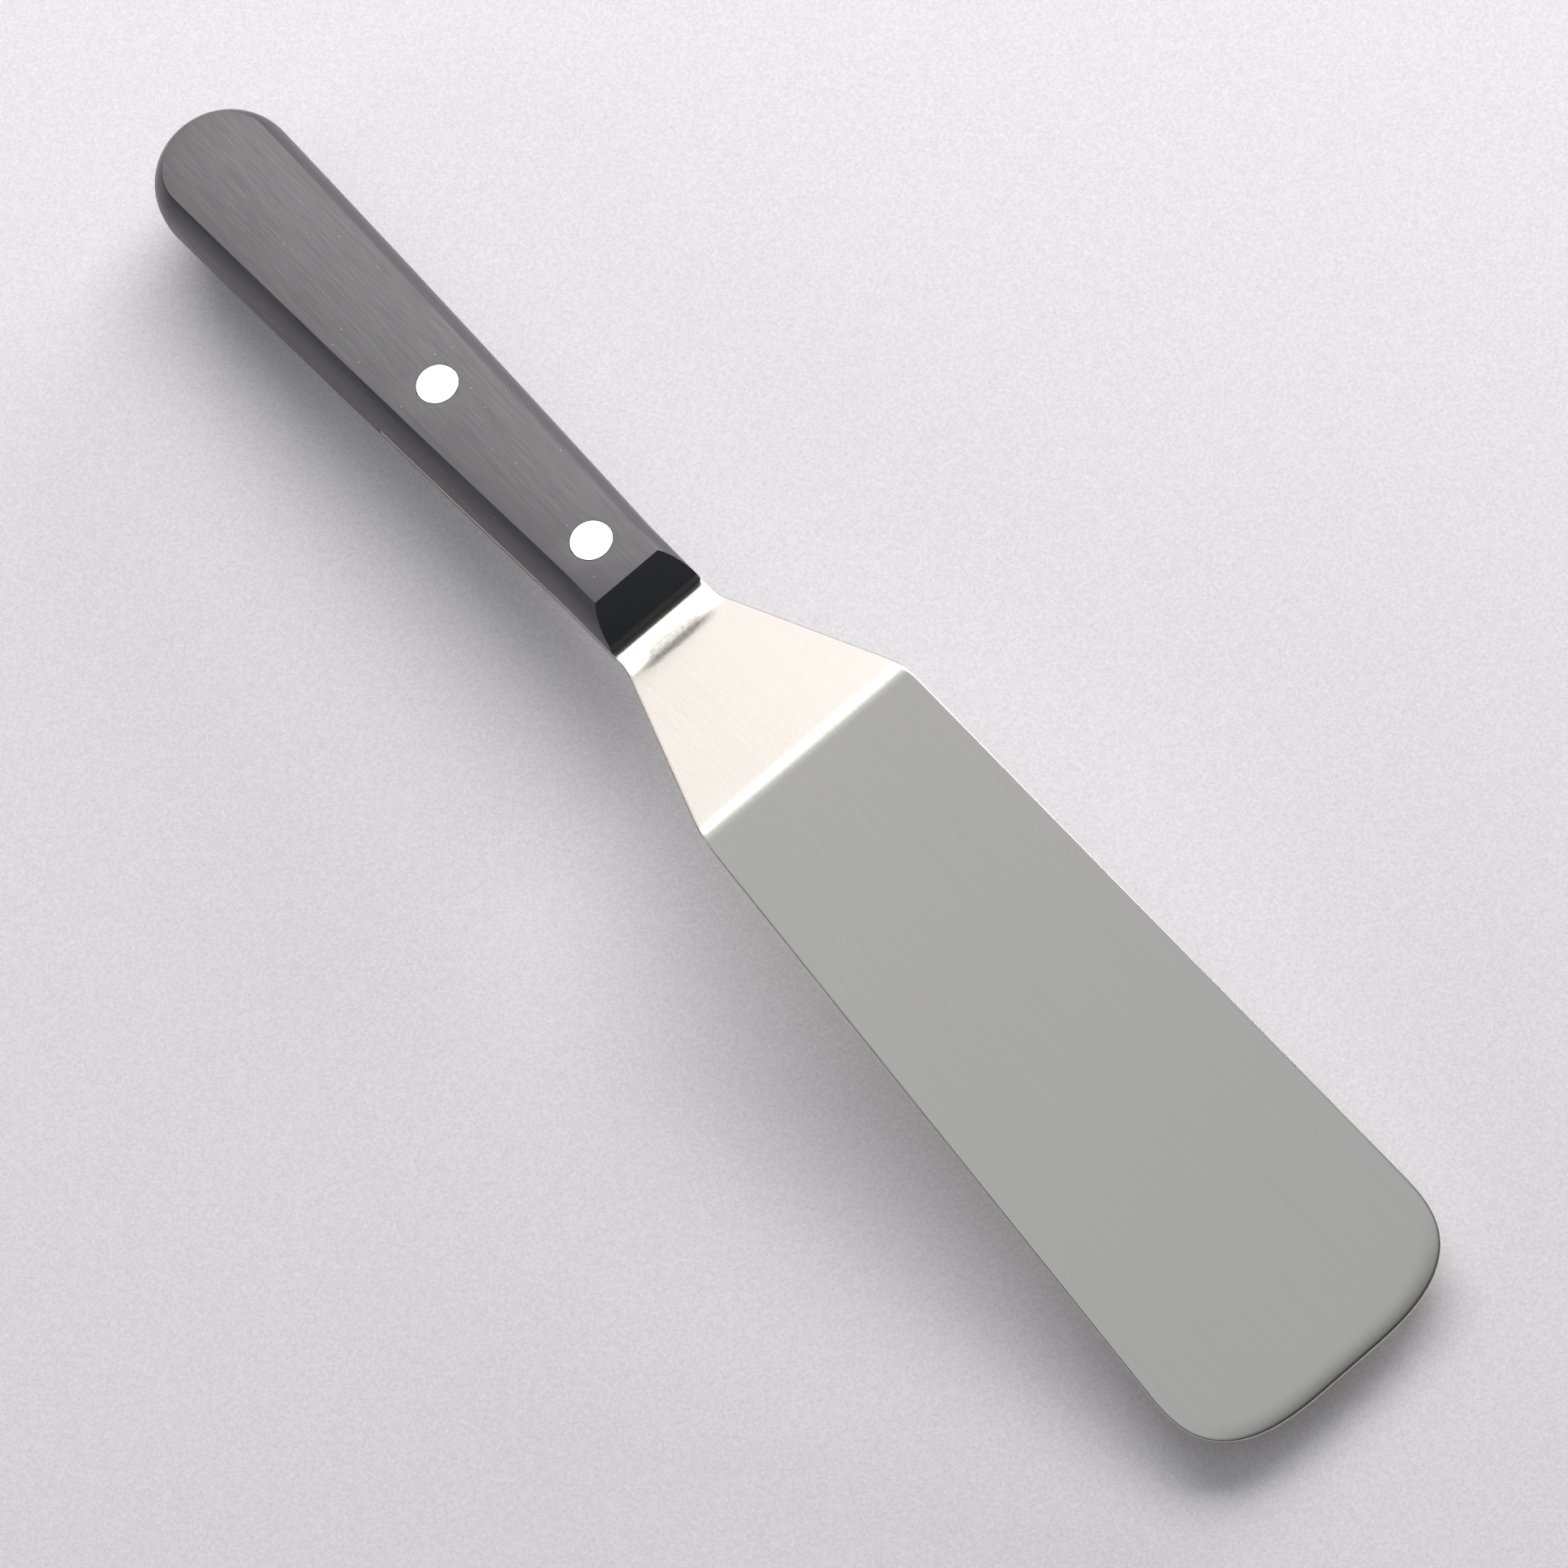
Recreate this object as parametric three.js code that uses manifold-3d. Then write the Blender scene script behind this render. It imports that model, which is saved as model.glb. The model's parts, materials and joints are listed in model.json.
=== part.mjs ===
// Offset spatula: a cranked steel blade held in a slotted black handle by two flush cutler's rivets.
// It lies blade-back up, as it rests on a table: the handle's butt and the blade's tip touch z = 0
// and the two bends stand clear of it. +X runs from the butt to the tip, +Y across, +Z up.
// Everything is built in the handle's own frame first (origin on the handle's front face, in the
// middle of the sheet), then the whole group is tilted into its resting attitude.
import * as THREE from "three";
import { mergeVertices } from "three/addons/utils/BufferGeometryUtils.js";
import Module from "manifold-3d";

// Steel sheet, mm and degrees.
const SHEET = 1.2;
const BEND_1_X = 4.85; // handle's front face to the first bend
const RISE_DEG = 15.85; // the slope climbs from the handle's axis
const SLOPE_LENGTH = 35.9;
const FALL_DEG = 19.2; // the blade drops below the handle's axis
const BLADE_LENGTH = 124.6; // second bend to the tip
const BEND_1_RADIUS = 8;
const BEND_2_RADIUS = 4.6;
const NECK_HALF = 9.35;
const HEEL_HALF = 20.4; // half width at the second bend
const BLADE_HALF = 25.5; // half width near the tip
const TIP_DEPTH = 15.4; // length of the rounded end
const TIP_POWER = 2.75; // exponent of the superellipse at each front corner
const TIP_FLAT = 4; // half length of the straight middle of the front edge
const NECK_FILLET = 14;
const HEEL_FILLET = 30;
const ROLL_WIDTH = 3.6; // the ground roll-off along the front edge
const ROLL_DROP = 0.55;

// Handle, mm.
const HANDLE_LENGTH = 122.4;
const HANDLE_HALF_THICK = 7.25;
const FRONT_HALF = 9.05; // half width over the straight front end
const FRONT_STRAIGHT = 12;
const MIDDLE_PULL = 10.85; // control of the curved sides, half way along them
const BUTT_HALF = 11.9; // radius of the round butt
const SIDE_BULGE = 7; // the sides are quarter ellipses this wide
const SIDE_DEPTH = 8.45; // and this deep, cut by the flat top and underside
const FACET_LENGTH = 5; // the sloped facets at the front end
const LIP_HALF = 2.55; // half height of the flat front face
const FACET_ROUND = 1.1;

// Slot and tang.
const TANG_LENGTH = 57.5;
const SLOT_PLAY = 0.05; // on each face of the sheet
const SLOT_END_GAP = 0.5;

// Cutler's rivets: a tube half and a pin half, each with a flush head.
const RIVET_X = { rear: -53.1, front: -13.9 };
const HEAD_RADIUS = 3.46;
const HEAD_DEPTH = 2.2;
const TUBE_RADIUS = 2.35;
const TUBE_BORE = 1.6;
const PIN_RADIUS = 1.5;
const RIVET_PROUD = 0.03;
const RIVET_PLAY = 0.05;

const rad = THREE.MathUtils.degToRad;
const wasm = await Module();
wasm.setup();

const steel = new THREE.MeshStandardMaterial({ color: 0xc9c8c5, roughness: 0.32, metalness: 1 });
const polished = new THREE.MeshStandardMaterial({ color: 0xe6e5e2, roughness: 0.12, metalness: 1 });
const plastic = new THREE.MeshStandardMaterial({ color: 0x1c1c1e, roughness: 0.42, metalness: 0 });

// A closed three.js geometry as a solid, with its shared vertices merged.
function solid(geometry, matrix = new THREE.Matrix4()) {
  const g = geometry.clone().applyMatrix4(matrix);
  g.deleteAttribute("normal");
  g.deleteAttribute("uv");
  const merged = mergeVertices(g, 1e-5);
  return new wasm.Manifold(
    new wasm.Mesh({
      numProp: 3,
      vertProperties: merged.attributes.position.array,
      triVerts: new Uint32Array(merged.index.array),
    }),
  );
}

function mesh(name, shape, material) {
  const m = shape.getMesh();
  const g = new THREE.BufferGeometry();
  g.setAttribute("position", new THREE.BufferAttribute(m.vertProperties, 3));
  g.setIndex(new THREE.BufferAttribute(m.triVerts, 1));
  g.computeVertexNormals();
  const out = new THREE.Mesh(g, material);
  out.name = name;
  return out;
}

// An outline in X and Y, extruded through the full height.
function planSolid(shape, half = 60) {
  const g = new THREE.ExtrudeGeometry(shape, { depth: 2 * half, bevelEnabled: false, curveSegments: 24 });
  return solid(g, new THREE.Matrix4().makeTranslation(0, 0, -half));
}

// A side profile in X and Z, extruded across the full width.
function profileSolid(shape, half = 60) {
  const g = new THREE.ExtrudeGeometry(shape, { depth: 2 * half, bevelEnabled: false, curveSegments: 16 });
  const turn = new THREE.Matrix4().makeRotationX(Math.PI / 2);
  return solid(g, turn.premultiply(new THREE.Matrix4().makeTranslation(0, half, 0)));
}

// The middle line of the sheet seen from the side: tang, slope, blade.
function sheetLine() {
  const start = new THREE.Vector2(-TANG_LENGTH, 0);
  const bend1 = new THREE.Vector2(BEND_1_X, 0);
  const rise = new THREE.Vector2(Math.cos(rad(RISE_DEG)), Math.sin(rad(RISE_DEG)));
  const fall = new THREE.Vector2(Math.cos(rad(FALL_DEG)), -Math.sin(rad(FALL_DEG)));
  const bend2 = bend1.clone().addScaledVector(rise, SLOPE_LENGTH);
  const tip = bend2.clone().addScaledVector(fall, BLADE_LENGTH);
  return { start, bend1, bend2, tip, fall };
}

// Points of one face of the sheet, at the signed distance from the middle line, with round bends.
function faceLine(offset) {
  const { start, bend1, bend2, tip } = sheetLine();
  const points = [];
  const normalOf = (a, b) => new THREE.Vector2(a.y - b.y, b.x - a.x).normalize();
  points.push(start.clone().addScaledVector(normalOf(start, bend1), offset));
  const bends = [
    [start, bend1, bend2, BEND_1_RADIUS],
    [bend1, bend2, tip, BEND_2_RADIUS],
  ];
  for (const [before, corner, after, radius] of bends) {
    const n0 = normalOf(before, corner);
    const n1 = normalOf(corner, after);
    const turn = n0.angleTo(n1);
    const side = n0.cross(n1) > 0 ? 1 : -1; // +1 bends towards the +Z face
    const toCentre = n0.clone().add(n1).normalize();
    const centre = corner.clone().addScaledVector(toCentre, (side * radius) / Math.cos(turn / 2));
    const from = Math.atan2(-side * n0.y, -side * n0.x);
    const steps = 8;
    for (let i = 0; i <= steps; i++) {
      const a = from + (side * turn * i) / steps;
      const r = radius - side * offset;
      points.push(new THREE.Vector2(centre.x + r * Math.cos(a), centre.y + r * Math.sin(a)));
    }
  }
  points.push(tip.clone().addScaledVector(normalOf(bend2, tip), offset));
  return points;
}

function sheetProfile() {
  const top = faceLine(SHEET / 2);
  const under = faceLine(-SHEET / 2).reverse();
  return new THREE.Shape([...top, ...under]);
}

// Half width of the grip at a distance behind its front face, up to the round butt.
function gripHalf(back) {
  const t = Math.max(0, (back - FRONT_STRAIGHT) / (HANDLE_LENGTH - BUTT_HALF - FRONT_STRAIGHT));
  return (1 - t) ** 2 * FRONT_HALF + 2 * t * (1 - t) * MIDDLE_PULL + t ** 2 * BUTT_HALF;
}

// The side of the grip as points, from the front to a distance behind it.
function gripEdge(from, to, inset) {
  const points = [new THREE.Vector2(-from, gripHalf(from) - inset)];
  const steps = 10;
  for (let i = 0; i <= steps; i++) {
    const back = THREE.MathUtils.lerp(FRONT_STRAIGHT, to, i / steps);
    points.push(new THREE.Vector2(-back, gripHalf(back) - inset));
  }
  return points;
}

// A corner rounded by an arc of the given radius, as a few points.
function filletPoints(before, corner, after, radius, steps = 6) {
  const a = before.clone().sub(corner).normalize();
  const b = after.clone().sub(corner).normalize();
  const half = a.angleTo(b) / 2;
  const reach = radius / Math.tan(half);
  const p = corner.clone().addScaledVector(a, reach);
  const q = corner.clone().addScaledVector(b, reach);
  const centre = corner.clone().addScaledVector(a.clone().add(b).normalize(), radius / Math.sin(half));
  const out = [];
  for (let i = 0; i <= steps; i++) {
    const m = p.clone().lerp(q, i / steps).sub(centre).setLength(radius).add(centre);
    out.push(m);
  }
  return out;
}

// One rounded front corner, from the side of the blade to its straight front edge at x = 0.
function frontCorner(halfWidth, steps) {
  const points = [];
  for (let i = 0; i <= steps; i++) {
    const a = ((Math.PI / 2) * i) / steps;
    const along = Math.pow(Math.sin(a), 2 / TIP_POWER) - 1;
    const across = Math.pow(Math.cos(a), 2 / TIP_POWER);
    points.push(new THREE.Vector2(TIP_DEPTH * along, TIP_FLAT + (halfWidth - TIP_FLAT) * across));
  }
  return points;
}

// The blade's outline seen along Z: half of it as points, mirrored for the other edge.
function bladeOutline() {
  const { bend2, tip, fall } = sheetLine();
  const scale = fall.x; // the blade is foreshortened by its slope
  const shoulderX = tip.x - TIP_DEPTH * scale;
  const neckStart = new THREE.Vector2(0, FRONT_HALF);
  const flare = new THREE.Vector2(BEND_1_X - 0.9, NECK_HALF);
  const heel = new THREE.Vector2(bend2.x, HEEL_HALF);
  const shoulder = new THREE.Vector2(shoulderX, BLADE_HALF);
  const half = [
    ...gripEdge(0, TANG_LENGTH, 0).reverse(),
    ...filletPoints(neckStart, flare, heel, NECK_FILLET),
    ...filletPoints(flare, heel, shoulder, HEEL_FILLET),
  ];
  half.push(...frontCorner(BLADE_HALF, 16).map((p) => new THREE.Vector2(tip.x + p.x * scale, p.y)));
  const other = half
    .slice()
    .reverse()
    .map((p) => new THREE.Vector2(p.x, -p.y));
  return new THREE.Shape([...half, ...other]);
}

// A slab over the blade whose upper face rolls down along the front edge.
function rollOff() {
  const { tip, fall } = sheetLine();
  const wide = BLADE_HALF + 9;
  const corner = frontCorner(wide, 24);
  const other = corner
    .slice()
    .reverse()
    .map((p) => new THREE.Vector2(p.x, -p.y));
  const back = [new THREE.Vector2(-80, -wide), new THREE.Vector2(-80, wide)];
  const slab = new THREE.ExtrudeGeometry(new THREE.Shape([...corner, ...other, ...back]), {
    depth: 20,
    bevelThickness: ROLL_DROP,
    bevelSize: ROLL_WIDTH,
    bevelOffset: -ROLL_WIDTH,
    bevelSegments: 5,
  });
  const place = new THREE.Matrix4().makeTranslation(0, 0, SHEET / 2 - 20 - ROLL_DROP);
  place.premultiply(new THREE.Matrix4().makeRotationY(Math.atan2(-fall.y, fall.x)));
  place.premultiply(new THREE.Matrix4().makeTranslation(tip.x, 0, tip.y));
  return solid(slab, place);
}

// Everything behind the roll-off slab's reach, so that it only shapes the blade's end.
function behindTip() {
  const { tip } = sheetLine();
  const g = new THREE.BoxGeometry(400, 120, 120);
  return solid(g, new THREE.Matrix4().makeTranslation(tip.x - 60 - 200, 0, 0));
}

function cylinderSolid(radius, height, x, z = 0) {
  const g = new THREE.CylinderGeometry(radius, radius, height, 48);
  g.rotateX(Math.PI / 2);
  return solid(g, new THREE.Matrix4().makeTranslation(x, 0, z));
}

function blade() {
  let shape = profileSolid(sheetProfile()).intersect(planSolid(bladeOutline()));
  shape = shape.intersect(rollOff().add(behindTip()));
  for (const x of Object.values(RIVET_X)) {
    shape = shape.subtract(cylinderSolid(TUBE_RADIUS + RIVET_PLAY, 10, x));
  }
  return mesh("blade", shape, steel);
}

// The grip before its flats are cut: a long outline with a round butt and elliptical sides.
function gripBody() {
  const edge = gripEdge(-10, HANDLE_LENGTH - BUTT_HALF, SIDE_BULGE);
  const last = edge[edge.length - 1];
  const shape = new THREE.Shape(edge);
  shape.absarc(last.x, 0, last.y, Math.PI / 2, (3 * Math.PI) / 2, false);
  for (const p of edge.slice(0, -1).reverse()) {
    shape.lineTo(p.x, -p.y);
  }
  const g = new THREE.ExtrudeGeometry(shape, {
    depth: SHEET,
    bevelThickness: SIDE_DEPTH,
    bevelSize: SIDE_BULGE,
    bevelSegments: 14,
    curveSegments: 36,
  });
  return solid(g, new THREE.Matrix4().makeTranslation(0, 0, -SHEET / 2));
}

// Side view of the handle: flat top and underside, two sloped facets and a small upright lip.
function handleProfile() {
  const T = HANDLE_HALF_THICK;
  const back = new THREE.Vector2(-HANDLE_LENGTH - 5, T);
  const shoulder = new THREE.Vector2(-FACET_LENGTH, T);
  const lip = new THREE.Vector2(0, LIP_HALF);
  const upper = [back, ...filletPoints(back, shoulder, lip, FACET_ROUND), lip];
  const lower = upper.map((p) => new THREE.Vector2(p.x, -p.y)).reverse();
  return new THREE.Shape([...upper, ...lower]);
}

function handle() {
  let shape = gripBody().intersect(profileSolid(handleProfile()));
  const slotLength = TANG_LENGTH + SLOT_END_GAP;
  const slot = new THREE.BoxGeometry(2 * slotLength, 60, SHEET + 2 * SLOT_PLAY);
  shape = shape.subtract(solid(slot));
  for (const x of Object.values(RIVET_X)) {
    shape = shape.subtract(cylinderSolid(TUBE_RADIUS + RIVET_PLAY, 40, x));
    for (const side of [1, -1]) {
      const z = side * (HANDLE_HALF_THICK - HEAD_DEPTH + 10 - RIVET_PLAY);
      shape = shape.subtract(cylinderSolid(HEAD_RADIUS + RIVET_PLAY, 20, x, z));
    }
  }
  return mesh("handle", shape, plastic);
}

function lathe(name, profile, material, x, flip) {
  const g = new THREE.LatheGeometry(
    profile.map(([r, z]) => new THREE.Vector2(r, z)),
    48,
  );
  g.rotateX(flip ? -Math.PI / 2 : Math.PI / 2);
  return mesh(name, solid(g, new THREE.Matrix4().makeTranslation(x, 0, 0)), material);
}

// The tube half: a flush head on top and a hollow shank that reaches past the sheet.
function rivetTube(name, x) {
  const top = HANDLE_HALF_THICK + RIVET_PROUD;
  const under = HANDLE_HALF_THICK - HEAD_DEPTH;
  const foot = -3.2;
  const profile = [
    [0, under - 0.4],
    [TUBE_BORE, under - 0.4],
    [TUBE_BORE, foot],
    [TUBE_RADIUS, foot],
    [TUBE_RADIUS, under],
    [HEAD_RADIUS, under],
    [HEAD_RADIUS, top - 0.12],
    [HEAD_RADIUS - 0.12, top],
    [0, top],
  ];
  return lathe(name, profile, polished, x, false);
}

// The pin half: its own flush head underneath and a solid pin inside the tube.
function rivetPin(name, x) {
  const top = HANDLE_HALF_THICK + RIVET_PROUD;
  const under = HANDLE_HALF_THICK - HEAD_DEPTH;
  const reach = -2.6;
  const profile = [
    [0, reach],
    [PIN_RADIUS, reach],
    [PIN_RADIUS, under - 0.2],
    [TUBE_RADIUS, under - 0.2],
    [TUBE_RADIUS, under],
    [HEAD_RADIUS, under],
    [HEAD_RADIUS, top - 0.12],
    [HEAD_RADIUS - 0.12, top],
    [0, top],
  ];
  return lathe(name, profile, polished, x, true);
}

// How far the handle's axis climbs so that the butt and the tip both touch the table.
function restTilt() {
  const { tip, fall } = sheetLine();
  const depth = (HANDLE_HALF_THICK - SHEET / 2) / SIDE_DEPTH;
  const inset = SIDE_BULGE * (1 - Math.sqrt(1 - depth ** 2)); // of the flat from the widest line
  const butt = new THREE.Vector2(inset - HANDLE_LENGTH, -HANDLE_HALF_THICK);
  const edge = new THREE.Vector2(tip.x + (fall.y * SHEET) / 2, tip.y - (fall.x * SHEET) / 2);
  return Math.atan2(butt.y - edge.y, edge.x - butt.x);
}

const spatula = new THREE.Group();
spatula.add(blade(), handle());
for (const [place, x] of Object.entries(RIVET_X)) {
  spatula.add(rivetTube(`rivet_${place}_tube`, x), rivetPin(`rivet_${place}_pin`, x));
}
spatula.rotation.y = -restTilt();

// The origin is under the middle of the resting object.
const root = new THREE.Group();
root.add(spatula);
root.updateMatrixWorld(true);
const box = new THREE.Box3().setFromObject(root, true);
spatula.position.set(-(box.min.x + box.max.x) / 2, 0, -box.min.z);

export default root;
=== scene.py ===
"""Offset spatula: the looks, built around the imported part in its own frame, in metres.

The tool lies with its second bend raised. Each piece is shaped in the handle's frame (x forward along the
handle from its front face, z off its broad face, the sheet's middle at z = 0) and then laid in the row frame.
"""

import json
import math

import bmesh
import bpy
from mathutils import Matrix, Vector


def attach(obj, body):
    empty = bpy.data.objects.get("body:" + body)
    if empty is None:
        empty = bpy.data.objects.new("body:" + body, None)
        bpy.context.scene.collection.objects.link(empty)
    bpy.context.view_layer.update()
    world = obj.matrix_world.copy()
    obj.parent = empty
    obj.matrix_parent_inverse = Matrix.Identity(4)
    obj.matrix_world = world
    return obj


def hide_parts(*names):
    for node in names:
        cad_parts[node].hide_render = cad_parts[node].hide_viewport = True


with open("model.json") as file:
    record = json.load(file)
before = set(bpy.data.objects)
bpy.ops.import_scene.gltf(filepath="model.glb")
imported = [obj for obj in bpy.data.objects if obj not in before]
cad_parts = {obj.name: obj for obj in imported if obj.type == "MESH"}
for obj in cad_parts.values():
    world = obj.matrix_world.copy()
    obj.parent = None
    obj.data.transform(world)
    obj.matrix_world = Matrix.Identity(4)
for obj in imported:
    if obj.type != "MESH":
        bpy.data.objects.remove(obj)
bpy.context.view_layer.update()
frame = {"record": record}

MM = 0.001

# Steel sheet, mm and degrees, as in the part.
SHEET = 1.2
BEND_1_X = 4.85
RISE = math.radians(15.85)
SLOPE_LENGTH = 35.9
FALL = math.radians(19.2)
BLADE_LENGTH = 124.6
BEND_1_RADIUS = 8.0
BEND_2_RADIUS = 4.6
NECK_HALF = 9.35
NECK_SET_BACK = 0.9  # the neck starts to flare this far behind the first bend
HEEL_HALF = 20.4
BLADE_HALF = 25.5
TIP_DEPTH = 15.4
TIP_POWER = 2.75
TIP_FLAT = 4.0
NECK_FILLET = 14.0
HEEL_FILLET = 30.0

# The sheet's edges, mm. The front edge rolls off a little less than the part's does.
ROLL_WIDTH = 3.4
ROLL_DROP = 0.42
EDGE_ROUND = 0.28
TANG_EDGE_ROUND = 0.04
SKIN = 0.002  # every face of the sheet is set in by this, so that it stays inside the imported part's box

# Handle, mm, as in the part but for the facet's rounding.
HANDLE_LENGTH = 122.4
HALF_THICK = 7.25
FRONT_HALF = 9.05
FRONT_STRAIGHT = 12.0
MIDDLE_PULL = 10.85
BUTT_HALF = 11.9
SIDE_BULGE = 7.0
SIDE_DEPTH = 8.45
FACET_LENGTH = 5.0
LIP_HALF = 2.55
FACET_ROUND = 0.45  # set-back of the rounding where the facet meets the flat
TO_SPARE = 3.0  # the grip is built this far past its front face before the front is cut

# Slot, tang and rivets, mm, as in the part.
TANG_LENGTH = 57.5
SLOT_PLAY = 0.05
SLOT_END_GAP = 0.5
RIVET_X = {"rear": -53.1, "front": -13.9}
HEAD_RADIUS = 3.46
HEAD_DEPTH = 2.2
TUBE_RADIUS = 2.35
TUBE_BORE = 1.6
PIN_RADIUS = 1.5
RIVET_PROUD = 0.03
RIVET_PLAY = 0.05
BORE_ROOF = 0.4  # solid metal under the tube half's head
TUBE_END = -3.2
PIN_END = -2.6
PIN_SHOULDER = 0.2  # length of the pin half's thick neck under its head

# The painted dark reflection: a mottled band across the first bend, where the steel's colour is darkened and
# its roughness raised, mm along and across the sheet.
BAND_MIDDLE = 5.8
BAND_SIDE = 0.3
BAND_WANDER = 1.2
BAND_HALF = (1.2, 2.3)  # half width where it starts to fade, and where it ends
BAND_REACH = (4.2, 7.6)


# --- Placing: where the handle's frame lies in the row frame --------------------------------------


def mount(name):
    """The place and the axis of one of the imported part's mounts."""
    found = next(m for m in frame["record"]["mounts"] if m["name"] == name)
    return Vector(found["pos_m"]), Vector(found["axis"]).normalized()


def handle_frame():
    """The matrix from the handle's frame to the row frame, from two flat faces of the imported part."""
    flat_point, flat_normal = mount("handle_flat")
    face_point, face_normal = mount("blade_face")
    tilt = math.atan2(-flat_normal.x, flat_normal.z)
    turn = Matrix.Rotation(-tilt, 4, "Y")
    on_flat = turn @ Vector((0, 0, HALF_THICK * MM))
    on_face = turn @ (on_sheet(sheet_length(), 0, -SHEET / 2) * MM)
    a = flat_normal.dot(flat_point - on_flat)
    b = face_normal.dot(face_point - on_face)
    det = flat_normal.x * face_normal.z - flat_normal.z * face_normal.x
    x = (a * face_normal.z - b * flat_normal.z) / det
    z = (b * flat_normal.x - a * face_normal.x) / det
    return Matrix.Translation((x, 0, z)) @ turn


# --- Mesh helpers ---------------------------------------------------------------------------------


def add_piece(name, bm, matrix, smooth_angle=35):
    """A mesh object from a bmesh in mm, laid in the row frame, smooth but for its sharp edges."""
    bmesh.ops.recalc_face_normals(bm, faces=bm.faces)
    bmesh.ops.transform(bm, matrix=matrix @ Matrix.Scale(MM, 4), verts=bm.verts)
    mesh = bpy.data.meshes.new(name)
    bm.to_mesh(mesh)
    bm.free()
    piece = bpy.data.objects.new(name, mesh)
    bpy.context.scene.collection.objects.link(piece)
    mesh.shade_smooth()
    mesh.set_sharp_from_angle(angle=math.radians(smooth_angle))
    return piece


def apply_modifiers(piece):
    bpy.context.view_layer.update()
    evaluated = piece.evaluated_get(bpy.context.evaluated_depsgraph_get())
    mesh = bpy.data.meshes.new_from_object(evaluated)
    piece.modifiers.clear()
    old = piece.data
    piece.data = mesh
    mesh.name = old.name
    bpy.data.meshes.remove(old)


def cut_away(piece, cutters):
    """Subtracts each cutter from the piece and removes the cutters."""
    for cutter in cutters:
        modifier = piece.modifiers.new("cut", "BOOLEAN")
        modifier.operation = "DIFFERENCE"
        modifier.solver = "EXACT"
        modifier.object = cutter
    apply_modifiers(piece)
    for cutter in cutters:
        bpy.data.objects.remove(cutter)


def cylinder_cutter(x, radius, low, high, matrix):
    bm = bmesh.new()
    bmesh.ops.create_cone(bm, cap_ends=True, segments=64, radius1=radius, radius2=radius, depth=high - low)
    bmesh.ops.translate(bm, vec=(x, 0, (low + high) / 2), verts=bm.verts)
    return add_piece("cutter", bm, matrix)


def box_cutter(low, high, matrix):
    bm = bmesh.new()
    bmesh.ops.create_cube(bm, size=1)
    size = Vector(high) - Vector(low)
    bmesh.ops.scale(bm, vec=size, verts=bm.verts)
    bmesh.ops.translate(bm, vec=(Vector(low) + Vector(high)) / 2, verts=bm.verts)
    return add_piece("cutter", bm, matrix)


def revolve(profile, x, flip, segments=72):
    """A turned solid about a z axis at x, from (radius, height) pairs that start and end on the axis."""
    bm = bmesh.new()
    rings = []
    for radius, height in profile:
        z = -height if flip else height
        if radius == 0:
            rings.append([bm.verts.new((x, 0, z))])
            continue
        angles = [2 * math.pi * i / segments for i in range(segments)]
        rings.append([bm.verts.new((x + radius * math.cos(a), radius * math.sin(a), z)) for a in angles])
    for low, high in zip(rings, rings[1:]):
        for i in range(segments):
            j = i + 1
            quad = [low[i % len(low)], low[j % len(low)], high[j % len(high)], high[i % len(high)]]
            bm.faces.new(list(dict.fromkeys(quad)))
    return bm


# --- Blade ----------------------------------------------------------------------------------------


def stretches():
    """The sheet's middle line from the handle's front face: (length, turn) of each stretch."""
    turn_2 = RISE + FALL
    trim_1 = BEND_1_RADIUS * math.tan(RISE / 2)
    trim_2 = BEND_2_RADIUS * math.tan(turn_2 / 2)
    return [
        (BEND_1_X - trim_1, 0.0),
        (BEND_1_RADIUS * RISE, RISE),
        (SLOPE_LENGTH - trim_1 - trim_2, 0.0),
        (BEND_2_RADIUS * turn_2, -turn_2),
        (BLADE_LENGTH - trim_2, 0.0),
    ]


def sheet_length():
    return sum(length for length, _ in stretches())


def on_sheet(s, y, lift):
    """A point of the bent sheet: s along it from the handle's front face, y across, lift off its middle."""
    x = z = heading = 0.0
    left = s
    for length, turn in stretches():
        step = min(left, length)
        if turn == 0:
            x += step * math.cos(heading)
            z += step * math.sin(heading)
        else:
            radius = length / turn
            after = heading + step / radius
            x += radius * (math.sin(after) - math.sin(heading))
            z += radius * (math.cos(heading) - math.cos(after))
            heading = after
        left -= step
        if left <= 0:
            break
    return Vector((x - lift * math.sin(heading), y, z + lift * math.cos(heading)))


def grip_half(back):
    """Half width of the handle at a distance behind its front face, up to the round butt."""
    t = max(0.0, (back - FRONT_STRAIGHT) / (HANDLE_LENGTH - BUTT_HALF - FRONT_STRAIGHT))
    return (1 - t) ** 2 * FRONT_HALF + 2 * t * (1 - t) * MIDDLE_PULL + t**2 * BUTT_HALF


def fillet(before, corner, after, radius, steps=12):
    """Points of the arc that rounds a corner of a flat outline."""
    a = (before - corner).normalized()
    b = (after - corner).normalized()
    half = a.angle(b) / 2
    p = corner + a * (radius / math.tan(half))
    q = corner + b * (radius / math.tan(half))
    centre = corner + (a + b).normalized() * (radius / math.sin(half))
    return [centre + (p.lerp(q, i / steps) - centre).normalized() * radius for i in range(steps + 1)]


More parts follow.
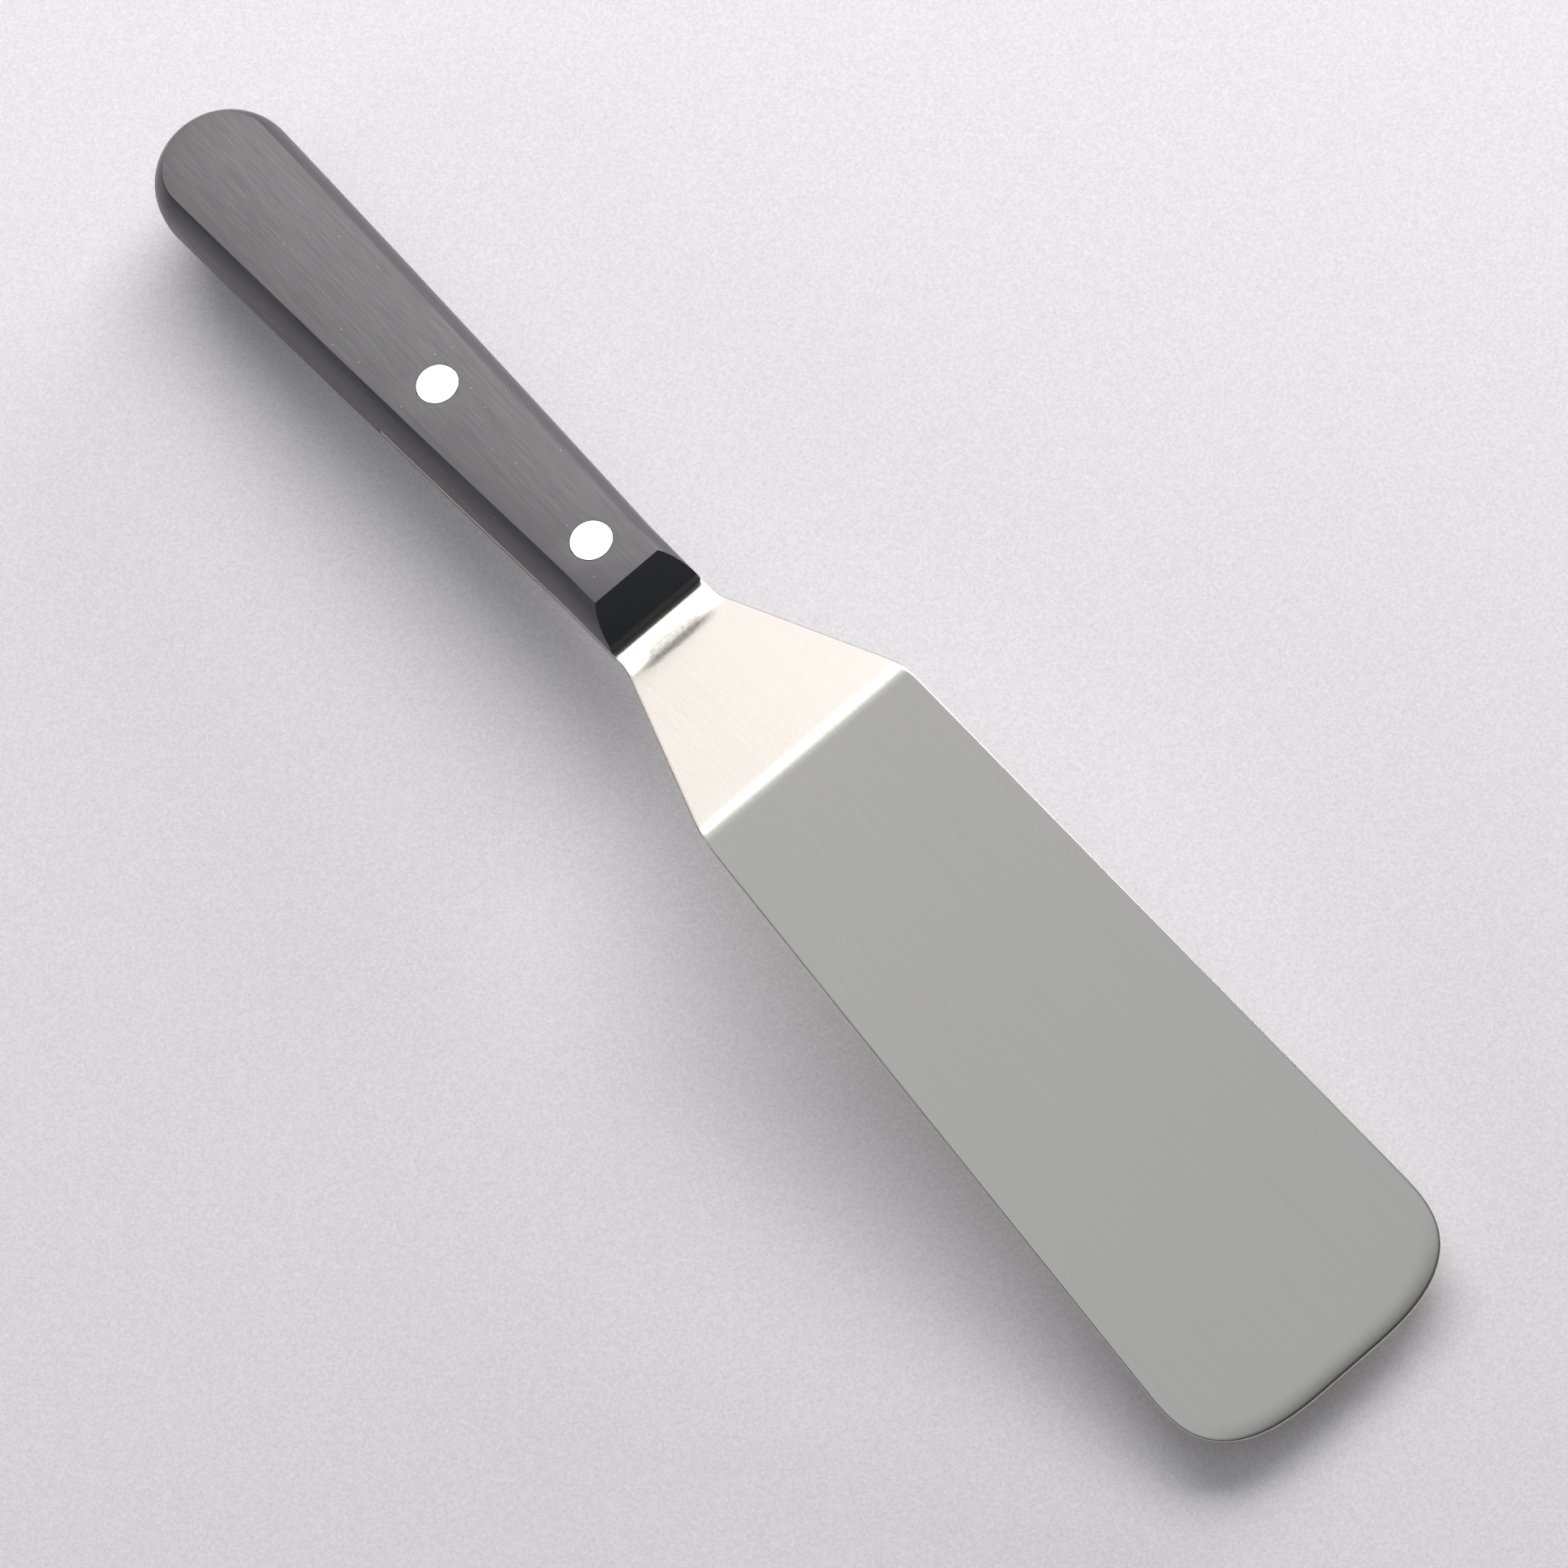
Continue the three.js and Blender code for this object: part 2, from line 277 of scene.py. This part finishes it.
def blade_half_outline():
    """One edge of the unrolled sheet as (s, half width), from the tang's end to the straight front edge."""
    lengths = [length for length, _ in stretches()]
    heel_s = sum(lengths[:3]) + lengths[3] / 2
    shoulder_s = sheet_length() - TIP_DEPTH
    start = Vector((0, FRONT_HALF))
    flare = Vector((BEND_1_X - NECK_SET_BACK, NECK_HALF))
    heel = Vector((heel_s, HEEL_HALF))
    shoulder = Vector((shoulder_s, BLADE_HALF))
    backs = [TANG_LENGTH * (1 - i / 12) for i in range(13)]
    side = [Vector((-back, grip_half(back))) for back in backs]
    side += fillet(start, flare, heel, NECK_FILLET)
    side += fillet(flare, heel, shoulder, HEEL_FILLET)
    side.append(shoulder)
    rows = {round(p.x, 4) for p in side}
    for i in (1, 3):  # the two bends
        begin = sum(lengths[:i])
        rows |= {round(begin + lengths[i] * k / 12, 4) for k in range(13)}
    rows |= {round(heel_s + (shoulder_s - heel_s) * k / 12, 4) for k in range(1, 12)}
    outline = [Vector((s, interpolate(side, s))) for s in sorted(rows)]
    steps = 40
    for i in range(1, steps + 1):
        a = math.pi / 2 * i / steps
        along = math.sin(a) ** (2 / TIP_POWER)
        across = max(0.0, math.cos(a)) ** (2 / TIP_POWER)
        outline.append(Vector((shoulder_s + TIP_DEPTH * along, TIP_FLAT + (BLADE_HALF - TIP_FLAT) * across)))
    return outline


def interpolate(points, s):
    """The half width at s along an outline of (s, half width) points."""
    for p, q in zip(points, points[1:]):
        if p.x <= s <= q.x and q.x > p.x:
            return p.y + (q.y - p.y) * (s - p.x) / (q.x - p.x)
    return points[0].y if s < points[0].x else points[-1].y


def inward_normals(points, last):
    """Unit normals of an outline, pointing in. The last one is given."""
    normals = []
    for i in range(len(points) - 1):
        tangent = points[i + 1] - points[max(0, i - 1)]
        normals.append(Vector((tangent.y, -tangent.x)).normalized())
    return normals + [last]


def edge_profile(s, front):
    """(inset, lift) of each ring round the sheet's edge, from the underside to the upper face."""
    half = SHEET / 2 - SKIN
    rounding = EDGE_ROUND if s > 0.5 else TANG_EDGE_ROUND

    def drop(inset):
        return ROLL_DROP * front * max(0.0, 1 - inset / ROLL_WIDTH) ** 2

    rings = []
    for k in range(5):
        a = math.pi / 2 * k / 4
        rings.append((rounding * (1 - math.sin(a)), -half + rounding * (1 - math.cos(a))))
    for k in range(5):
        a = math.pi / 2 * k / 4
        inset = rounding * (1 - math.cos(a))
        rings.append((inset, half - drop(inset) - rounding * (1 - math.sin(a))))
    for k in range(1, 9):
        inset = rounding + (ROLL_WIDTH - rounding) * k / 8
        rings.append((inset, half - drop(inset)))
    return [(inset + SKIN, lift) for inset, lift in rings]


def build_blade(matrix):
    """The bent sheet, skinned between rings of points round its edge and drilled for the rivets."""
    bm = bmesh.new()
    uv = bm.loops.layers.uv.new("sheet")
    outline = blade_half_outline()
    normals = inward_normals(outline, Vector((-1, 0)))
    normals[0] = Vector((0, -1))
    flat = {}

    def vertex(s, y, lift):
        v = bm.verts.new(on_sheet(s, y, lift))
        flat[v] = (s, y)
        return v

    chains = []
    for side in (1, -1):
        chain = []
        for p, n in zip(outline, normals):
            front = max(0.0, -n.x) ** 2
            rings = edge_profile(p.x, front)
            chain.append([vertex(p.x + n.x * d, side * (p.y + n.y * d), lift) for d, lift in rings])
        chains.append(chain)
    left, right = chains
    loop = left + right[::-1]
    for a, b in zip(loop, loop[1:]):
        for j in range(len(a) - 1):
            bm.faces.new((a[j], b[j], b[j + 1], a[j + 1]))
    for j in (0, -1):
        for k in range(len(left) - 1):
            bm.faces.new((left[k][j], left[k + 1][j], right[k + 1][j], right[k][j]))
    bm.faces.new(left[0] + right[0][::-1])
    for face in bm.faces:
        for corner in face.loops:
            s, y = flat[corner.vert]
            corner[uv].uv = (s * MM, y * MM)
    piece = add_piece("blade_sheet", bm, matrix, 50)
    holes = [cylinder_cutter(x, TUBE_RADIUS + RIVET_PLAY, -SHEET, SHEET, matrix) for x in RIVET_X.values()]
    cut_away(piece, holes)
    return piece


# --- Handle ---------------------------------------------------------------------------------------


def side_rings():
    """(inset, height) round the handle's barrel side, from the upper crease to the lower one."""
    rings = []
    steps = 9
    top = math.asin((HALF_THICK - SHEET / 2) / SIDE_DEPTH)
    for k in range(steps + 1):
        a = top * (1 - k / steps)
        rings.append((SIDE_BULGE * (1 - math.cos(a)), SHEET / 2 + SIDE_DEPTH * math.sin(a)))
    return rings + [(inset, -height) for inset, height in rings[::-1]]


def handle_outline():
    """One side of the handle from ahead of its front face to the butt's end: (x, y) and inward normals."""
    straight_end = HANDLE_LENGTH - BUTT_HALF
    backs = [-TO_SPARE] + [FRONT_STRAIGHT + (straight_end - FRONT_STRAIGHT) * i / 18 for i in range(19)]
    points = [Vector((-back, grip_half(back))) for back in backs]
    forward = [Vector((back, grip_half(back))) for back in backs]
    normals = [Vector((-n.x, n.y)) for n in inward_normals(forward, Vector((0, -1)))]
    steps = 36
    for i in range(1, steps + 1):
        a = math.pi / 2 * (1 + i / steps)
        out = Vector((math.cos(a), math.sin(a)))
        if i == steps:
            out = Vector((-1, 0))
        points.append(Vector((-straight_end, 0)) + out * BUTT_HALF)
        normals.append(-out)
    return points, normals


def front_planes():
    """The handle's front: two sloped facets and the flat lip between them, as (point, normal)."""
    slope = Vector((HALF_THICK - LIP_HALF, 0, FACET_LENGTH)).normalized()
    lower = Vector((slope.x, 0, -slope.z))
    return [
        (Vector((0, 0, LIP_HALF)), slope),
        (Vector((0, 0, -LIP_HALF)), lower),
        (Vector((0, 0, 0)), Vector((1, 0, 0))),
    ]


def cut_front(bm):
    """Slices the front facets and marks how far each new edge is set back when it is rounded."""
    weight = bm.edges.layers.float.new("bevel_weight_edge")
    planes = front_planes()
    for point, normal in planes:
        geometry = bm.verts[:] + bm.edges[:] + bm.faces[:]
        cut = bmesh.ops.bisect_plane(bm, geom=geometry, plane_co=point, plane_no=normal, clear_outer=True)
        rim = [e for e in cut["geom_cut"] if isinstance(e, bmesh.types.BMEdge)]
        bmesh.ops.holes_fill(bm, edges=rim, sides=0)
    bmesh.ops.recalc_face_normals(bm, faces=bm.faces)

    def is_front(face):
        return any(face.normal.dot(normal) > 0.9999 for _, normal in planes)

    for edge in bm.edges:
        faces = edge.link_faces
        if len(faces) != 2 or faces[0].normal.angle(faces[1].normal) < math.radians(25):
            continue
        fronts = sum(is_front(f) for f in faces)
        flats = sum(abs(f.normal.z) > 0.9999 for f in faces)
        if fronts == 1 and flats == 1:
            edge[weight] = 1.0
        elif fronts:
            edge[weight] = 0.6
        else:
            edge[weight] = 0.25


def build_handle(matrix):
    """The grip, with its front faceted and rounded, slotted for the tang and bored for the rivets."""
    bm = bmesh.new()
    points, normals = handle_outline()
    rings = side_rings()
    left, right = [], []
    for p, n in zip(points, normals):
        column = [bm.verts.new((p.x + n.x * d, p.y + n.y * d, z)) for d, z in rings]
        left.append(column)
        on_axis = abs(p.y) < 1e-6
        right.append(column if on_axis else [bm.verts.new((v.co.x, -v.co.y, v.co.z)) for v in column])
    for chain in (left, right):
        for a, b in zip(chain, chain[1:]):
            for j in range(len(a) - 1):
                bm.faces.new((a[j], b[j], b[j + 1], a[j + 1]))
    for j in (0, -1):
        for k in range(len(left) - 1):
            quad = (left[k][j], left[k + 1][j], right[k + 1][j], right[k][j])
            bm.faces.new(list(dict.fromkeys(quad)))
    bm.faces.new(left[0] + right[0][::-1])
    bmesh.ops.recalc_face_normals(bm, faces=bm.faces)
    cut_front(bm)
    piece = add_piece("handle_grip", bm, matrix)
    bevel = piece.modifiers.new("rounding", "BEVEL")
    bevel.limit_method = "WEIGHT"
    bevel.width = FACET_ROUND * MM
    bevel.segments = 4
    apply_modifiers(piece)
    cutters = [slot_cutter(matrix)]
    for x in RIVET_X.values():
        shank = TUBE_RADIUS + RIVET_PLAY
        head = HEAD_RADIUS + RIVET_PLAY
        seat = HALF_THICK - HEAD_DEPTH - RIVET_PLAY
        cutters.append(cylinder_cutter(x, shank, -HALF_THICK, HALF_THICK, matrix))
        cutters.append(cylinder_cutter(x, head, seat, HALF_THICK + 2, matrix))
        cutters.append(cylinder_cutter(x, head, -HALF_THICK - 2, -seat, matrix))
    cut_away(piece, cutters)
    piece.data.shade_smooth()
    piece.data.set_sharp_from_angle(angle=math.radians(30))
    return piece


def slot_cutter(matrix):
    half = SHEET / 2 + SLOT_PLAY
    return box_cutter((-TANG_LENGTH - SLOT_END_GAP, -20, -half), (20, 20, half), matrix)


# --- Rivets ---------------------------------------------------------------------------------------


def head_profile():
    """The buffed head, very slightly crowned, from its rim to the middle."""
    top = HALF_THICK + RIVET_PROUD
    rim = [(0, 0.1), (0.02, 0.04), (0.06, 0.014), (0.12, 0.004), (0.2, 0.002)]
    edge = [(HEAD_RADIUS - inset, top - drop) for inset, drop in rim]
    return edge + [(HEAD_RADIUS * 0.6, top - 0.001), (HEAD_RADIUS * 0.25, top), (0, top)]


def build_rivet(place, matrix):
    """A rivet's tube half, head up, and its pin half, head down, each under the name of its CAD node."""
    x = RIVET_X[place]
    under = HALF_THICK - HEAD_DEPTH
    roof = under - BORE_ROOF
    shoulder = under - PIN_SHOULDER
    tube = [(0, roof), (TUBE_BORE, roof), (TUBE_BORE, TUBE_END), (TUBE_RADIUS, TUBE_END)]
    tube += [(TUBE_RADIUS, under), (HEAD_RADIUS, under)] + head_profile()
    pin = [(0, PIN_END), (PIN_RADIUS, PIN_END), (PIN_RADIUS, shoulder), (TUBE_RADIUS, shoulder)]
    pin += [(TUBE_RADIUS, under), (HEAD_RADIUS, under)] + head_profile()
    return {
        f"rivet_{place}_tube": add_piece(f"rivet_{place}_top", revolve(tube, x, False), matrix, 40),
        f"rivet_{place}_pin": add_piece(f"rivet_{place}_under", revolve(pin, x, True), matrix, 40),
    }


# --- Materials ------------------------------------------------------------------------------------


class Nodes:
    """A short way to write a material's node tree."""

    def __init__(self, name):
        self.material = bpy.data.materials.new(name)
        self.material.use_nodes = True
        self.tree = self.material.node_tree
        self.shader = self.tree.nodes["Principled BSDF"]

    def add(self, kind, settings=None, **inputs):
        node = self.tree.nodes.new(kind)
        for key, value in (settings or {}).items():
            setattr(node, key, value)
        for key, value in inputs.items():
            self.put(node.inputs[key.replace("_", " ")], value)
        return node

    def put(self, socket, value):
        if isinstance(value, bpy.types.NodeSocket):
            self.tree.links.new(value, socket)
        else:
            socket.default_value = value

    def noise(self, vector, scale, detail=2.0, roughness=0.5):
        node = self.add("ShaderNodeTexNoise", Scale=scale, Detail=detail, Roughness=roughness)
        self.put(node.inputs["Vector"], vector)
        return node.outputs["Fac"]

    def specks(self, vector, density, rarity, radius):
        """A mask of sparse round specks: the rarest cells of a Voronoi pattern, near their centres."""
        node = self.add("ShaderNodeTexVoronoi", Scale=density)
        self.put(node.inputs["Vector"], vector)
        split = self.add("ShaderNodeSeparateColor")
        self.put(split.inputs["Color"], node.outputs["Color"])
        near = self.math("LESS_THAN", node.outputs["Distance"], radius)
        rare = self.math("GREATER_THAN", split.outputs["Red"], rarity)
        return self.math("MULTIPLY", near, rare)

    def stretched(self, vector, scale):
        node = self.add("ShaderNodeMapping", Scale=scale)
        self.put(node.inputs["Vector"], vector)
        return node.outputs["Vector"]

    def remap(self, value, low, high, to_low, to_high):
        node = self.add("ShaderNodeMapRange")
        self.put(node.inputs["Value"], value)
        for name, number in (("From Min", low), ("From Max", high), ("To Min", to_low), ("To Max", to_high)):
            node.inputs[name].default_value = number
        return node.outputs["Result"]

    def math(self, operation, a, b=0.0):
        node = self.add("ShaderNodeMath", {"operation": operation})
        self.put(node.inputs[0], a)
        self.put(node.inputs[1], b)
        return node.outputs["Value"]

    def mix(self, factor, a, b):
        node = self.add("ShaderNodeMix", {"data_type": "RGBA"})
        self.put(node.inputs["Factor"], factor)
        self.put(node.inputs["A"], a)
        self.put(node.inputs["B"], b)
        return node.outputs["Result"]

    def axes(self, vector):
        node = self.add("ShaderNodeSeparateXYZ")
        self.put(node.inputs["Vector"], vector)
        return node.outputs

    def bump(self, height, distance, strength):
        node = self.add("ShaderNodeBump", Strength=strength, Distance=distance)
        self.put(node.inputs["Height"], height)
        return node.outputs["Normal"]

    def set(self, **inputs):
        for key, value in inputs.items():
            self.put(self.shader.inputs[key.replace("_", " ")], value)


def painted_bend_reflection(n, place):
    """A mask for the painted dark reflection: a short mottled band across the first bend, where the steel is
    darkened and roughened.
    """
    at = n.axes(place)
    mottle = n.noise(place, 1500.0, 3.0, 0.65)
    wander = n.math("MULTIPLY", n.noise(place, 350.0, 2.0), BAND_WANDER * MM)
    along = n.math("ABSOLUTE", n.math("SUBTRACT", n.math("ADD", at["X"], wander), BAND_MIDDLE * MM))
    across = n.math("ABSOLUTE", n.math("ADD", at["Y"], BAND_SIDE * MM))
    inside = n.remap(along, BAND_HALF[0] * MM, BAND_HALF[1] * MM, 1, 0)
    reach = n.remap(across, BAND_REACH[0] * MM, BAND_REACH[1] * MM, 1, 0)
    return n.math("MULTIPLY", n.math("MULTIPLY", inside, reach), n.remap(mottle, 0.25, 0.6, 0.6, 1))


def brushed_steel():
    """Satin stainless steel ground along its length, with a painted dark reflection across the first bend."""
    n = Nodes("brushed_steel")
    tangent = n.add("ShaderNodeTangent", {"direction_type": "UV_MAP", "uv_map": "sheet"})
    place = n.add("ShaderNodeUVMap", {"uv_map": "sheet"}).outputs["UV"]
    grain = n.noise(n.stretched(place, (90, 7000, 1)), 1.0, 3.0, 0.6)
    streaks = n.noise(n.stretched(place, (25, 1500, 1)), 1.0, 2.0, 0.5)
    cloud = n.noise(place, 40.0, 2.0)
    rough = n.math("ADD", n.remap(grain, 0.3, 0.7, 0.245, 0.28), n.remap(cloud, 0.3, 0.7, -0.01, 0.01))
    tint = n.remap(n.math("ADD", streaks, grain), 0.7, 1.3, 0.0, 1.0)
    # painted reflection: a mottled dark band across the first bend, which darkens the colour and raises the
    # roughness below
    painted_reflection = painted_bend_reflection(n, place)
    rough = n.math("ADD", rough, n.math("MULTIPLY", painted_reflection, 0.12))
    colour = n.mix(tint, (0.675, 0.64, 0.57, 1), (0.705, 0.67, 0.60, 1))
    # painted dark reflection: inside the band the steel's colour is mixed towards dark grey
    colour = n.mix(n.math("MULTIPLY", painted_reflection, 0.68), colour, (0.16, 0.165, 0.165, 1))
    n.set(Base_Color=colour, Metallic=1.0, Roughness=rough, Normal=n.bump(grain, 0.000004, 0.5))
    n.set(Tangent=tangent.outputs["Tangent"], Anisotropic=0.7, Anisotropic_Rotation=0.25)
    return n.material


def along_handle(n, matrix):
    """Object coordinates turned to run along the handle, for patterns that follow it."""
    node = n.add("ShaderNodeMapping")
    n.put(node.inputs["Vector"], n.add("ShaderNodeTexCoord").outputs["Object"])
    node.inputs["Rotation"].default_value = matrix.to_3x3().inverted().to_euler()
    return node.outputs["Vector"]


def buffed_steel(matrix):
    """The rivets' heads: bright, with faint marks from the same sanding as the handle."""
    n = Nodes("buffed_steel")
    place = along_handle(n, matrix)
    marks = n.noise(n.stretched(place, (300, 6000, 300)), 1.0, 2.0)
    rough = n.remap(marks, 0.3, 0.7, 0.14, 0.22)
    n.set(Base_Color=(0.74, 0.73, 0.72, 1), Metallic=1.0, Roughness=rough, Normal=n.bump(marks, 0.00001, 0.3))
    return n.material


def black_plastic(matrix):
    """Black plastic sanded lengthwise to a satin, with a few dust specks. Its front facets are plain."""
    n = Nodes("black_plastic")
    place = along_handle(n, matrix)
    sanding = n.noise(n.stretched(place, (110, 3600, 1200)), 1.0, 3.0, 0.6)
    wear = n.noise(n.stretched(place, (50, 1300, 500)), 1.0, 3.0, 0.6)
    cloud = n.noise(place, 90.0, 3.0)
    rough = n.math("ADD", n.remap(sanding, 0.3, 0.7, 0.27, 0.42), n.remap(cloud, 0.3, 0.7, -0.012, 0.012))
    lines = n.remap(n.math("ADD", sanding, wear), 0.82, 1.18, 0, 1)
    colour = n.mix(lines, (0.024, 0.0218, 0.0228, 1), (0.043, 0.0393, 0.0408, 1))
    facet_x = (matrix.to_3x3().inverted() @ matrix.translation).x - FACET_LENGTH * MM
    facet = n.remap(n.axes(place)["X"], facet_x, facet_x + 0.2 * MM, 0, 1)
    colour = n.mix(facet, colour, (0.032, 0.033, 0.034, 1))
    colour = n.mix(n.specks(place, 900, 0.93, 0.09), colour, (0.5, 0.48, 0.46, 1))
    along = n.add("ShaderNodeCombineXYZ", X=matrix[0][0], Y=matrix[1][0], Z=matrix[2][0]).outputs["Vector"]
    n.set(Base_Color=colour, Roughness=rough, Normal=n.bump(sanding, 0.00001, 0.5), Tangent=along)
    n.set(Anisotropic=0.6, Anisotropic_Rotation=0.25, IOR=1.69)
    return n.material


def paper():
    """The pale floor."""
    n = Nodes("paper")
    place = n.add("ShaderNodeTexCoord").outputs["Object"]
    fibre = n.noise(place, 900.0, 3.0)
    mottle = n.remap(n.noise(place, 2200.0, 3.0, 0.7), 0.3, 0.7, 0, 1)
    colour = n.mix(mottle, (0.80, 0.775, 0.785, 1), (0.99, 0.963, 0.975, 1))
    n.set(Base_Color=colour, Roughness=0.9, Normal=n.bump(fibre, 0.00005, 0.2), Specular_IOR_Level=0.2)
    return n.material


# --- Floor, light and camera ----------------------------------------------------------------------

CAMERA_TARGET = (8.8, -0.89, 0.0)  # mm
CAMERA_AZIMUTH = -19.444  # degrees from +X towards +Y
CAMERA_ELEVATION = 66.02
CAMERA_ROLL = -22.5
CAMERA_DISTANCE = 1499.8  # mm
CAMERA_LENS = 222.85  # mm on a 36 mm sensor
FLOOR_DROP = 5.6  # mm between the part's lowest edge and the paper

# The dome's colour and its strength low down and overhead.
DOME_COLOUR = (0.925, 0.98, 1.075, 1)
HORIZON_LIGHT = 0.055
CEILING_LIGHT = 0.63

# Each soft panel: name, azimuth and elevation in degrees, distance, width and height in metres, power in
# watts, colour.
PANELS = [
    ("softbox", 135, 49, 1.2, 1.45, 0.6, 12.2, (1, 0.98, 0.985)),
    ("back_panel", 165, 20, 1.25, 0.66, 0.5, 1.7, (0.955, 0.935, 0.985)),
    ("side_panel", 108, 13, 1.25, 0.68, 0.5, 6.3, (1, 0.98, 1.0)),
    ("fill_card", -114, 22, 1.2, 0.6, 0.3, 0.95, (0.95, 0.98, 1.0)),
]


def direction(azimuth, elevation):
    a, e = math.radians(azimuth), math.radians(elevation)
    return Vector((math.cos(e) * math.cos(a), math.cos(e) * math.sin(a), math.sin(e)))


def look_from(obj, target, azimuth, elevation, distance, roll=0.0):
    towards = direction(azimuth, elevation)
    aim = (-towards).to_track_quat("-Z", "Y").to_matrix().to_4x4()
    turn = Matrix.Rotation(math.radians(roll), 4, "Z")
    obj.matrix_world = Matrix.Translation(target + towards * distance) @ aim @ turn


def add_camera():
    data = bpy.data.cameras.new("camera")
    data.sensor_width = 36
    data.lens = CAMERA_LENS
    data.clip_start = 0.01
    data.clip_end = 50
    camera = bpy.data.objects.new("camera", data)
    bpy.context.scene.collection.objects.link(camera)
    target = Vector(CAMERA_TARGET) * MM
    look_from(camera, target, CAMERA_AZIMUTH, CAMERA_ELEVATION, CAMERA_DISTANCE * MM, CAMERA_ROLL)
    bpy.context.scene.camera = camera


def add_panel(name, azimuth, elevation, distance, width, height, power, colour):
    data = bpy.data.lights.new(name, "AREA")
    data.shape = "RECTANGLE"
    data.size = width
    data.size_y = height
    data.energy = power
    data.color = colour
    light = bpy.data.objects.new(name, data)
    bpy.context.scene.collection.objects.link(light)
    look_from(light, Vector((0, 0, 0)), azimuth, elevation, distance)


def add_surroundings():
    world = bpy.data.worlds.new("surroundings")
    bpy.context.scene.world = world
    world.use_nodes = True
    tree = world.node_tree
    background = tree.nodes["Background"]
    background.inputs["Color"].default_value = DOME_COLOUR
    where = tree.nodes.new("ShaderNodeTexCoord")
    split = tree.nodes.new("ShaderNodeSeparateXYZ")
    height = tree.nodes.new("ShaderNodeMapRange")
    height.interpolation_type = "SMOOTHSTEP"
    height.inputs["From Min"].default_value = 0.71
    height.inputs["From Max"].default_value = 0.98
    height.inputs["To Min"].default_value = HORIZON_LIGHT
    height.inputs["To Max"].default_value = CEILING_LIGHT
    tree.links.new(where.outputs["Generated"], split.inputs["Vector"])
    tree.links.new(split.outputs["Z"], height.inputs["Value"])
    tree.links.new(height.outputs["Result"], background.inputs["Strength"])


def add_floor(material):
    bm = bmesh.new()
    bmesh.ops.create_grid(bm, x_segments=8, y_segments=8, size=3000)
    bmesh.ops.translate(bm, vec=(0, 0, -FLOOR_DROP), verts=bm.verts)
    floor = add_piece("floor", bm, Matrix.Identity(4))
    floor.data.materials.append(material)


# --- Assembly -------------------------------------------------------------------------------------


def main():
    matrix = handle_frame()
    pieces = {"blade": build_blade(matrix), "handle": build_handle(matrix)}
    for place in RIVET_X:
        pieces.update(build_rivet(place, matrix))
    finishes = {
        "blade_steel": brushed_steel(),
        "handle_plastic": black_plastic(matrix),
        "rivet_steel": buffed_steel(matrix),
    }
    slots = {part["node"]: part["material_slot"] for part in frame["record"]["subparts"]}
    for node, piece in pieces.items():
        piece.data.materials.clear()
        piece.data.materials.append(finishes[slots[node]])
        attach(piece, "root")
        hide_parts(node)
    add_floor(paper())
    add_surroundings()
    for panel in PANELS:
        add_panel(*panel)
    add_camera()
    bpy.context.scene.view_settings.view_transform = "Standard"


main()
